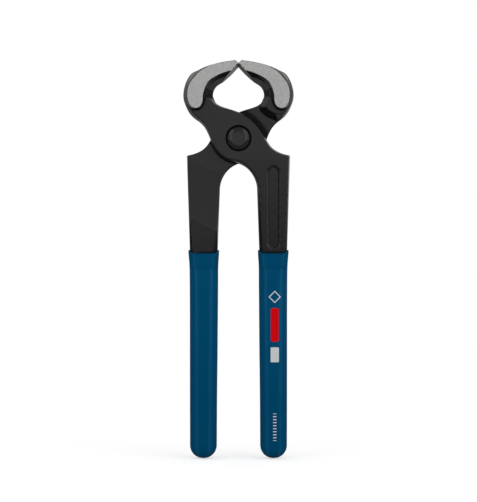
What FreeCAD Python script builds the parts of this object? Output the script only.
"""Pincer-type tile nippers, 250 mm long, modelled as the pieces they are made of.

Frame: origin on the rivet axis, in the plane where the two levers lap. +Z runs towards the
jaws, +X to the right and -Y towards the viewer of the front face. Units are millimetres.

The two levers are the same forging. The front lever has its jaw on -X and its handle on +X;
the rear lever is that forging turned half a turn about Z. One rivet joins them, and each
handle carries a moulded sleeve.
"""
import FreeCAD, Part
import math
import os
from FreeCAD import Vector

# ---- driving dimensions -------------------------------------------------------------------
LAP = 8.5              # thickness of one lever where the two lap
JAW_HALF = 12.5        # half the width of the jaws and of their cutting edges
LAP_Y = -0.05          # lap face of the front lever; the rear lever's is as far behind y = 0
EDGE_GAP = 0.05        # each cutting edge stops this far from the centre plane
EDGE_Z = 46.8          # height of the cutting edges above the rivet
INNER_BEVEL = 47.0     # degrees between the inner bevel and the X axis
CROWN_CENTRE = (4.7, -29.4)   # the top of the jaw is ground to a cylinder about this axis
CROWN_R = 78.2
GRIND_FOOT_Z = 30.8    # no grinding reaches below this
PAD_FOOT_Y = 7.8       # the pads run down into the jaw as far as this
HANDLE_END_Z = -72.0   # where the handle becomes the tang inside the sleeve
TANG_END_Z = -193.0
SLEEVE_TOP_Z = -70.0
SLEEVE_END_Z = -201.6
SHANK_R = 4.70         # rivet shank
BORE_CLEARANCE = 0.05  # the rear lever turns on the shank with this radial clearance
HEAD_R = 7.75
HEAD_SEAT_R = 7.9      # round seat that sinks the rivet head into the lever
HEAD_SEAT_DEPTH = 1.4
BULGE = 0.30           # share of a side's taper used up half-way through the thickness
EVEN = 0.50            # the same for a side that tapers evenly
REACH = 300.0          # size of cutting blocks, larger than the tool


# ---- drawing helpers ----------------------------------------------------------------------
def chord_lengths(points):
    """Distance along the chords up to each point, for the parameters of a curve."""
    lengths = [0.0]
    for p, q in zip(points, points[1:]):
        lengths.append(lengths[-1] + math.dist(p, q))
    return lengths


def wire(y, outline, guide=None):
    """Closed wire at depth y from segments ("line" | "arc" | "curve", [(x, z), ...]).

    Curves take their parameters from the guide outline, so that the curves of several
    levels run alike and lofts between them stay smooth.
    """
    edges = []
    for (kind, points), (_, guide_points) in zip(outline, guide or outline):
        v = [Vector(x, y, z) for x, z in points]
        if kind == "line":
            edges.append(Part.LineSegment(v[0], v[-1]).toShape())
        elif kind == "arc":
            edges.append(Part.Arc(*v).toShape())
        else:
            curve = Part.BSplineCurve()
            curve.interpolate(Points=v, Parameters=chord_lengths(guide_points))
            edges.append(curve.toShape())
    return Part.Wire(edges)


def at_level(table, level, share=BULGE):
    """Points of a table at level 0 or 1, or at MIDDLE, a share of the way between them."""
    if level != MIDDLE:
        return table[level]
    return [(p[0] + share * (q[0] - p[0]), p[1] + share * (q[1] - p[1]))
            for p, q in zip(table[0], table[1])]


def bulged(outline, depth):
    """Solid through an outline's levels, from the lap plane to a depth, with convex sides."""
    heights = {0: LAP_Y, MIDDLE: (LAP_Y + depth) / 2, 1: depth}
    guide = outline(0)
    return Part.makeLoft([wire(y, outline(level), guide) for level, y in heights.items()],
                         True, False)


def half_space(p1, p2, p3, beyond):
    """Large block bounded by the plane through three points, on the side of a fourth."""
    a, b, c, d = (Vector(*p) for p in (p1, p2, p3, beyond))
    normal = (b - a).cross(c - a).normalize()
    if normal.dot(d - a) < 0:
        normal = -normal
    face = Part.makePlane(REACH, REACH, Vector(0, 0, 0), normal)
    face.translate(a - face.CenterOfMass)
    return face.extrude(normal * REACH)


def below(z):
    """Large block whose top is at height z."""
    return Part.makeBox(REACH, REACH, REACH, Vector(-REACH / 2, -REACH / 2, z - REACH))


def above(z):
    """Large block whose foot is at height z."""
    return Part.makeBox(REACH, REACH, REACH, Vector(-REACH / 2, -REACH / 2, z))


def y_cylinder(radius, y_from, y_to):
    return Part.makeCylinder(radius, y_to - y_from, Vector(0, y_from, 0), Vector(0, 1, 0))


# ---- outlines of the forging, front lever ---------------------------------------------------
# Level 0 is the lap plane, level 1 the outer face of the lever, level 2 the ground pads. The
# outlines run past the cutting edge; grinding brings them to size.
MIDDLE = 0.5
TIP_X = 2.0

# Back of the jaw from above its tip, round the widest point, to its heel.
JAW_BACK = {
    0: [(TIP_X, 51.0), (-12.0, 50.2), (-22.6, 47.2), (-30.0, 41.3), (-33.3, 35.8), (-34.8, 30.0),
        (-34.8, 25.4), (-33.3, 20.7), (-31.4, 16.9), (-28.0, 13.1), (-25.4, 11.2)],
    1: [(TIP_X, 51.0), (-12.0, 50.2), (-22.1, 47.0), (-28.6, 41.5), (-31.4, 36.3), (-32.55, 30.6),
        (-32.6, 25.6), (-31.4, 21.0), (-29.7, 17.6), (-26.7, 13.9), (-24.1, 11.6)],
}
# Inside of the jaw from its lowest point up to the tip.
JAW_HOLLOW = {
    0: [(-16.0, 26.8), (-15.7, 30.0), (-14.7, 32.1), (-12.9, 33.95), (-10.5, 35.3),
        (TIP_X, 41.6)],
    1: [(-20.3, 26.2), (-19.5, 30.4), (-17.4, 34.0), (-13.2, 36.9), (-7.5, 39.0),
        (TIP_X, 42.0)],
}
# Neck, lap, crotch and start of the handle, from the heel of the jaw downwards.
INNER_RUN = {
    0: [(-21.5, 7.3), (-19.4, 3.6), (-17.6, -0.8), (-15.3, -6.2), (-10.4, -11.7), (-4.9, -14.4),
        (0.0, -15.6), (5.4, -18.5), (8.7, -22.3), (10.7, -26.3), (11.75, -33.0)],
    1: [(-20.4, 8.4), (-18.4, 4.2), (-16.7, -0.6), (-14.5, -5.9), (-9.9, -11.0), (-4.7, -13.7),
        (0.2, -14.9), (6.1, -18.5), (9.7, -22.8), (11.8, -27.0), (12.9, -33.5)],
}
# Horn of the handle, lap and floor of the hollow, from the horn upwards.
OUTER_RUN = {
    0: [(31.9, -10.1), (28.0, -9.2), (24.3, -7.6), (20.1, -4.1), (16.9, 1.2), (11.7, 8.8),
        (6.1, 13.9), (0.5, 16.9), (-5.2, 18.9), (-11.0, 20.8), (-14.5, 23.1), (-16.0, 26.8)],
    1: [(31.0, -11.3), (27.6, -10.4), (23.6, -8.7), (19.2, -5.1), (15.7, 0.9), (10.8, 8.2),
        (5.4, 13.1), (0.2, 15.7), (-5.2, 17.5), (-11.6, 19.4), (-16.2, 22.1), (-20.3, 26.2)],
}
HORN = {0: [(32.65, -11.2), (32.5, -10.4)], 1: [(31.4, -12.4), (31.3, -11.6)]}
# Sides of the handle where it enters the sleeve, inner side first.
HANDLE_FOOT = {0: [(13.15, HANDLE_END_Z), (30.75, HANDLE_END_Z)],
               1: [(14.3, HANDLE_END_Z), (29.4, HANDLE_END_Z)]}
# Foot of the shoulder in the lap plane and its edge in the outer face, from beyond the heel of
# the jaw to beyond its inside.
SHOULDER = {
    0: [(-28.6, 9.2), (-25.4, 11.2), (-22.0, 12.9), (-19.8, 13.8), (-17.2, 15.3), (-14.7, 17.5),
        (-13.0, 20.0), (-12.0, 22.3)],
    1: [(-31.0, 16.8), (-28.0, 15.4), (-25.0, 15.0), (-22.9, 15.5), (-20.8, 16.5), (-18.9, 17.8),
        (-17.4, 19.6), (-16.4, 21.6)],
}
FACET_FOOT = {0: (-10.8, 15.0), 1: (-15.4, 15.0)}   # lower end of the flat inside the jaw


def jaw_hollow(level):
    return at_level(JAW_HOLLOW, level, EVEN)


def tip_closing(level):
    return ("line", [jaw_hollow(level)[-1], at_level(JAW_BACK, level)[0]])


def lever_outline(level):
    inner_run, outer_run = at_level(INNER_RUN, level), at_level(OUTER_RUN, level)
    horn = at_level(HORN, level)
    inner_foot, outer_foot = at_level(HANDLE_FOOT, level)
    hollow = jaw_hollow(level)
    return [
        ("curve", at_level(JAW_BACK, level) + inner_run),
        ("line", [inner_run[-1], inner_foot]),
        ("line", [inner_foot, outer_foot]),
        ("line", [outer_foot, horn[0]]),
        ("arc", horn + [outer_run[0]]),
        ("curve", outer_run[:-1] + hollow[:1]),
        ("curve", hollow),
        tip_closing(level),
    ]


def far_outline(level):
    """The jaw as it is beyond the lap, down to well below its shoulder."""
    inner_run, hollow = at_level(INNER_RUN, level), jaw_hollow(level)
    facet_foot = at_level({k: [point] for k, point in FACET_FOOT.items()}, level, EVEN)[0]
    return [
        ("curve", at_level(JAW_BACK, level) + inner_run),
        ("line", [inner_run[-1], IN_HANDLE]),
        ("line", [IN_HANDLE, facet_foot]),
        ("line", [facet_foot, hollow[0]]),
        ("curve", hollow),
        tip_closing(level),
    ]


def above_shoulder(level):
    """Everything above the shoulder, far out to both sides."""
    shoulder = at_level(SHOULDER, level, EVEN)
    left, right, top = -60.0, 30.0, 80.0
    corners = [(right, shoulder[-1][1]), (right, top), (left, top), (left, shoulder[0][1])]
    path = [shoulder[-1]] + corners + [shoulder[0]]
    return [("curve", shoulder)] + [("line", list(ends)) for ends in zip(path, path[1:])]


def pad_outline(level):
    """The raised crescent on each side of the jaw: level 1 at its foot, 2 at its ground top."""
    back = {
        1: [(TIP_X, 51.2), (-6.2, 50.0), (-12.9, 48.3), (-18.0, 46.6), (-24.2, 43.7),
            (-28.3, 40.5), (-31.0, 36.1), (-32.2, 31.2), (-32.4, 27.2), (-32.0, 23.5),
            (-30.9, 20.2)],
        2: [(TIP_X, 50.5), (-6.0, 49.2), (-12.5, 47.2), (-16.9, 45.5), (-22.1, 42.9),
            (-25.8, 39.9), (-29.3, 35.7), (-31.4, 31.5), (-32.0, 27.4), (-31.7, 23.8),
            (-30.3, 20.7)],
    }[level]
    front = {
        1: [(-30.9, 20.2), (-27.3, 17.9), (-23.8, 19.0), (-21.6, 22.4), (-19.75, 27.0),
            (-19.05, 30.5), (-17.1, 34.0), (-13.1, 36.8), (-7.5, 38.85), (TIP_X, 41.9)],
        2: [(-30.3, 20.7), (-27.3, 18.6), (-24.2, 19.6), (-22.6, 22.7), (-22.3, 26.9),
            (-21.0, 31.5), (-18.4, 35.7), (-13.8, 38.8), (-9.1, 40.9), (TIP_X, 44.0)],
    }[level]
    return [("curve", back), ("curve", front), ("line", [front[-1], back[0]])]


# ---- the forging ----------------------------------------------------------------------------
FACE_BREAK_Z = -13.0    # below this the front face slopes back to the handle
HANDLE_FRONT_Y = -5.0   # front of the handle where it enters the sleeve
HANDLE_BACK_Y = 4.7
RAMP_FOOT = [(31.84, -13.9), (11.86, -20.3)]   # the back of the handle starts to rise here
RAMP_TOP = (29.6, 5.4, -48.8)                  # outer end of the crease at the top of the rise
CREASE_INNER = (14.2, 5.95, -57.3)             # inner end of that crease
PANEL_X, PANEL_Z = 22.1, (-17.3, -69.4)        # shallow oblong panel in the front of the handle
PANEL_HALF_WIDTH, PANEL_DEPTH = 3.8, 0.45
IN_HANDLE = (15.0, -20.0)       # any point well inside the handle, in the lap plane
TANG_TOP_Z = HANDLE_END_Z + 0.5


def pads():
    foot, top = pad_outline(1), pad_outline(2)
    made = []
    for side in (-1, 1):
        levels = [wire(side * PAD_FOOT_Y, foot), wire(side * JAW_HALF, top, foot)]
        made.append(Part.makeLoft(levels, True, True))
    return made


def grind(body):
    """Grind the jaw: its crown, the two bevels of its edge, and the end at the other jaw."""
    edge = Vector(-EDGE_GAP, 0, EDGE_Z)
    along = Vector(0, 1, 0)
    slope = math.radians(INNER_BEVEL)
    down_bevel = edge - Vector(math.cos(slope), 0, math.sin(slope))
    up_bevel = edge + Vector(-1, 0, 1)
    jaw_top = above(GRIND_FOOT_Z)
    crown_x, crown_z = CROWN_CENTRE
    crown = Part.makeCylinder(CROWN_R, REACH, Vector(crown_x, -REACH / 2, crown_z), along)
    cuts = [
        half_space(edge, edge + along, down_bevel, Vector(0, 0, 0)),
        half_space(edge, edge + along, up_bevel, Vector(0, 0, REACH)),
        half_space(edge, edge + along, edge + Vector(0, 0, 1), Vector(REACH, 0, EDGE_Z)),
        jaw_top.cut(crown),
    ]
    for cut in cuts:
        body = body.cut(cut.common(jaw_top))
    return body


def handle_bevels():
    """The four long bevels that turn the handle's section into an octagon at the sleeve.

    Each starts from nothing at a point on an edge of the handle and is widest at the sleeve.
    """
    z = HANDLE_END_Z
    (inner_x, _), (outer_x, _) = HANDLE_FOOT[0]
    front, back = HANDLE_FRONT_Y, HANDLE_BACK_Y
    middle_x = (inner_x + outer_x) / 2
    bevels = [
        ((12.9, -7.5, -30.0), (inner_x + 2.6, front, z), (inner_x, front + 2.6, z)),
        ((31.7, -8.2, -18.0), (outer_x - 1.7, front, z), (outer_x, front + 1.8, z)),
        ((12.6, 5.7, -55.0), (inner_x + 2.6, back, z), (inner_x, back - 2.5, z)),
        ((31.1, 5.2, -47.0), (outer_x - 2.6, back, z), (outer_x, back - 2.7, z)),
    ]
    blocks = []
    for start, on_face, on_side in bevels:
        outside = (2 * on_side[0] - middle_x, 2 * on_face[1], z)
        blocks.append(half_space(start, on_face, on_side, outside).common(below(start[2])))
    return blocks


def panel_cutter():
    """Oblong prism whose floor follows the sloping front face of the handle."""
    low, high = PANEL_Z[1] + PANEL_HALF_WIDTH, PANEL_Z[0] - PANEL_HALF_WIDTH
    left, right = PANEL_X - PANEL_HALF_WIDTH, PANEL_X + PANEL_HALF_WIDTH
    outline = [
        ("line", [(left, low), (left, high)]),
        ("arc", [(left, high), (PANEL_X, PANEL_Z[0]), (right, high)]),
        ("line", [(right, high), (right, low)]),
        ("arc", [(right, low), (PANEL_X, PANEL_Z[1]), (left, low)]),
    ]
    prism = Part.Face(wire(-20, outline)).extrude(Vector(0, 20, 0))
    floor_top, floor_foot = -LAP + PANEL_DEPTH, HANDLE_FRONT_Y + PANEL_DEPTH
    return prism.common(half_space((0, floor_top, FACE_BREAK_Z), (10, floor_top, FACE_BREAK_Z),
                                   (0, floor_foot, HANDLE_END_Z), (0, -20, -40)))


def octagon(z, x_low, x_high, half_y, bevel):
    """Eight-sided wire at height z, a rectangle with its corners bevelled."""
    corners = [(x_low + bevel, -half_y), (x_high - bevel, -half_y), (x_high, -half_y + bevel),
               (x_high, half_y - bevel), (x_high - bevel, half_y), (x_low + bevel, half_y),
               (x_low, half_y - bevel), (x_low, -half_y + bevel)]
    points = [Vector(x, y, z) for x, y in corners]
    return Part.makePolygon(points + points[:1])


def tang():
    """The bare end of the handle that the sleeve is pushed over."""
    return Part.makeLoft([
        octagon(TANG_TOP_Z, 13.9, 30.0, 4.4, 2.0),
        octagon(-81.0, 14.6, 29.2, 4.3, 2.0),
        octagon(TANG_END_Z + 6.0, 15.6, 28.7, 4.0, 2.0),
        octagon(TANG_END_Z, 17.6, 26.7, 3.2, 1.6),
    ], True, True)


def forging(bore_r):
    """One lever, as the front lever, bored for the rivet."""
    body = bulged(lever_outline, -LAP).fuse(bulged(lever_outline, LAP))

    # Lap face, the rise at its foot and the back of the handle.
    (x1, z1), (x2, z2) = RAMP_FOOT
    behind = (0, REACH, 0)
    rise = half_space((x1, LAP_Y, z1), (x2, LAP_Y, z2), RAMP_TOP, behind)
    lap = half_space((0, LAP_Y, 0), (1, LAP_Y, 0), (0, LAP_Y, 1), behind)
    back = half_space(RAMP_TOP, CREASE_INNER, (22.0, HANDLE_BACK_Y, HANDLE_END_Z), behind)
    body = body.cut(rise.common(lap)).cut(back)

    # Front face of the handle slopes back from the joint to the sleeve.
    body = body.cut(half_space((0, -LAP, FACE_BREAK_Z), (10, -LAP, FACE_BREAK_Z),
                               (0, HANDLE_FRONT_Y, HANDLE_END_Z), (0, -REACH, 0)))
    for bevel in handle_bevels():
        body = body.cut(bevel)
    body = body.cut(panel_cutter())

    # The jaw's far half starts at the lap face, so that the other lever can pass below it.
    body = body.fuse(bulged(far_outline, LAP).common(bulged(above_shoulder, LAP)))
    body = grind(body.multiFuse(pads())).fuse(tang())
    body = body.cut(y_cylinder(bore_r, -REACH, REACH))
    body = body.cut(y_cylinder(HEAD_SEAT_R, -REACH, -LAP + HEAD_SEAT_DEPTH))
    return body.removeSplitter()


# ---- rivet ------------------------------------------------------------------------------------
# Profile of a head as (radius, height above the seat).
HEAD_RIM = (HEAD_R, 0.7)
HEAD_DOME = (6.6, 1.9)
HEAD_LIP = (4.7, 2.5)
HEAD_DISH = (4.35, 2.3)
SHANK_INTO_HEAD = 0.5


def rivet_head(seat_y):
    """Domed head with a dished centre; the seat is its flat underside. It faces -Y."""
    centre, seat_edge, rim, dome, lip, dish, dish_centre = (
        Vector(radius, seat_y - height, 0)
        for radius, height in ((0, 0), (HEAD_R, 0), HEAD_RIM, HEAD_DOME, HEAD_LIP, HEAD_DISH,
                               (0, HEAD_DISH[1])))
    profile = [
        Part.LineSegment(centre, seat_edge).toShape(),
        Part.LineSegment(seat_edge, rim).toShape(),
        Part.Arc(rim, dome, lip).toShape(),
        Part.LineSegment(lip, dish).toShape(),
        Part.LineSegment(dish, dish_centre).toShape(),
        Part.LineSegment(dish_centre, centre).toShape(),
    ]
    return Part.Face(Part.Wire(profile)).revolve(Vector(0, 0, 0), Vector(0, 1, 0), 360)


def rivet():
    """Shank with its made head in front and its closed head behind, as one piece."""
    seat = LAP - HEAD_SEAT_DEPTH
    front = rivet_head(-seat)
    rear = rivet_head(-(seat + BORE_CLEARANCE))
    rear.rotate(Vector(0, 0, 0), Vector(0, 0, 1), 180)
    shank_end = seat + SHANK_INTO_HEAD
    shank = y_cylinder(SHANK_R, -shank_end, shank_end)
    return shank.multiFuse([front, rear]).removeSplitter()


# ---- sleeve -----------------------------------------------------------------------------------
SLEEVE_STATIONS = [     # z, inner x, outer x, half depth
    (SLEEVE_TOP_Z, 12.30, 31.60, 6.9),
    (-73.0, 12.30, 31.60, 6.9),
    (-78.0, 12.70, 31.10, 6.7),
    (-90.0, 12.87, 30.80, 6.5),
    (-130.0, 13.20, 30.70, 6.45),
    (SLEEVE_END_Z, 13.75, 30.60, 6.3),
]
SLEEVE_CORNER = 3.4
FOOT_TOP_Z = -186.6     # the round foot of the sleeve lies below this
RIM_DROP = 2.9          # the mouth is this much lower at the front and back than at the sides
FOOT_EASE_X, FOOT_EASE_Y = 0.3, 0.1   # the foot's round ends are this much wider than half of it
LEVER_END_Z = SLEEVE_TOP_Z + 5.0      # only the lever's end below this is cut from the sleeve


def rounded_section(z, x_low, x_high, half_y, radius):
    """Rectangle with round corners at height z."""
    diagonal = radius * (1 - math.sqrt(0.5))
    corners = [(x_high, half_y, 1, 1), (x_low, half_y, -1, 1),
               (x_low, -half_y, -1, -1), (x_high, -half_y, 1, -1)]
    edges, ends = [], []
    for x, y, sx, sy in corners:
        along_x, along_y = Vector(x - sx * radius, y, z), Vector(x, y - sy * radius, z)
        middle = Vector(x - sx * diagonal, y - sy * diagonal, z)
        first, last = (along_y, along_x) if sx == sy else (along_x, along_y)
        edges.append(Part.Arc(first, middle, last).toShape())
        ends.append((first, last))
    joined = []
    for i, arc in enumerate(edges):
        joined.append(arc)
        joined.append(Part.LineSegment(ends[i][1], ends[(i + 1) % 4][0]).toShape())
    return Part.Wire(joined)


def round_end(centre, half, axis_x):
    """Block with a half-round foot at the sleeve's end, as deep as it needs to be."""
    across = Vector(1, 0, 0) if axis_x else Vector(0, 1, 0)
    through = Vector(0, 1, 0) if axis_x else Vector(1, 0, 0)
    foot = Vector(0, 0, SLEEVE_END_Z)
    arc_centre = foot + across * centre + Vector(0, 0, half)
    low, high = arc_centre - across * half, arc_centre + across * half
    up = Vector(0, 0, REACH)
    edges = [Part.Arc(low, foot + across * centre, high).toShape(),
             Part.LineSegment(high, high + up).toShape(),
             Part.LineSegment(high + up, low + up).toShape(),
             Part.LineSegment(low + up, low).toShape()]
    face = Part.Face(Part.Wire(edges))
    face.translate(through * -REACH / 2)
    return face.extrude(through * REACH)


def sleeve(lever):
    """Moulded sleeve with a saddle-shaped mouth, closed at its foot, on the lever's tang."""
    sections = [rounded_section(z, a, b, d, SLEEVE_CORNER) for z, a, b, d in SLEEVE_STATIONS]
    outer = Part.makeLoft(sections, True, True)
    _, x_low, x_high, half_y = SLEEVE_STATIONS[-1]
    half_x = (x_high - x_low) / 2
    top = above(FOOT_TOP_Z)
    for block in (round_end((x_low + x_high) / 2, half_x + FOOT_EASE_X, True),
                  round_end(0.0, half_y + FOOT_EASE_Y, False)):
        outer = outer.common(block.fuse(top))
    # Saddle: a cylinder along X trims the mouth lower at its front and back.
    half_depth = SLEEVE_STATIONS[0][3]
    saddle_r = (half_depth ** 2 + RIM_DROP ** 2) / (2 * RIM_DROP)
    saddle = Part.makeCylinder(saddle_r, REACH, Vector(-REACH / 2, 0, SLEEVE_TOP_Z - saddle_r),
                               Vector(1, 0, 0))
    trimmed = outer.common(saddle.fuse(below(SLEEVE_TOP_Z - RIM_DROP)))
    return trimmed.cut(lever.common(below(LEVER_END_Z))).removeSplitter()


# ---- assembly ---------------------------------------------------------------------------------
def half_turn(shape):
    turned = shape.copy()
    turned.rotate(Vector(0, 0, 0), Vector(0, 0, 1), 180)
    return turned


def main():
    front_lever = forging(SHANK_R)
    rear_lever = half_turn(forging(SHANK_R + BORE_CLEARANCE))
    front_sleeve = sleeve(front_lever)
    pieces = {
        "front_lever": front_lever,
        "rear_lever": rear_lever,
        "rivet": rivet(),
        "front_grip_sleeve": front_sleeve,
        "rear_grip_sleeve": half_turn(front_sleeve),
    }
    os.makedirs("parts", exist_ok=True)
    for name, shape in pieces.items():
        shape.exportStep(f"parts/{name}.step")
        print(name, "solids", len(shape.Solids), "valid", shape.isValid(),
              "volume", round(shape.Volume))


main()
